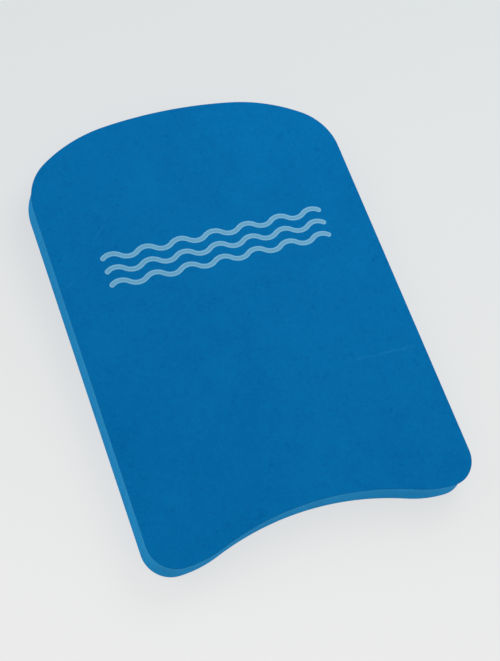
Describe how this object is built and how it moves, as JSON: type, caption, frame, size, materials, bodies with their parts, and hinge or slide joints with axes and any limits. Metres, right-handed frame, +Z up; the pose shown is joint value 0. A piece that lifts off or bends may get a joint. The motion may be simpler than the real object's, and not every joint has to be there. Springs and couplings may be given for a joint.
{
  "type": "kickboard",
  "caption": "Flat foam kickboard with a rounded nose, straight sides, a scalloped tail and a printed wave mark.",
  "frame": {"origin": "centre of the board's outline box, on its underside", "axes": "+Y along the length to the rounded nose, +X to the right with the nose ahead, +Z up out of the printed face"},
  "size_m": [0.3, 0.41, 0.0271],
  "materials": {
    "foam": "matte",
    "ink": "matte"
  },
  "bodies": {
    "root": {"foam_board": "foam", "print_wave_nose": "ink", "print_wave_middle": "ink", "print_wave_tail": "ink"}
  },
  "joints": []
}
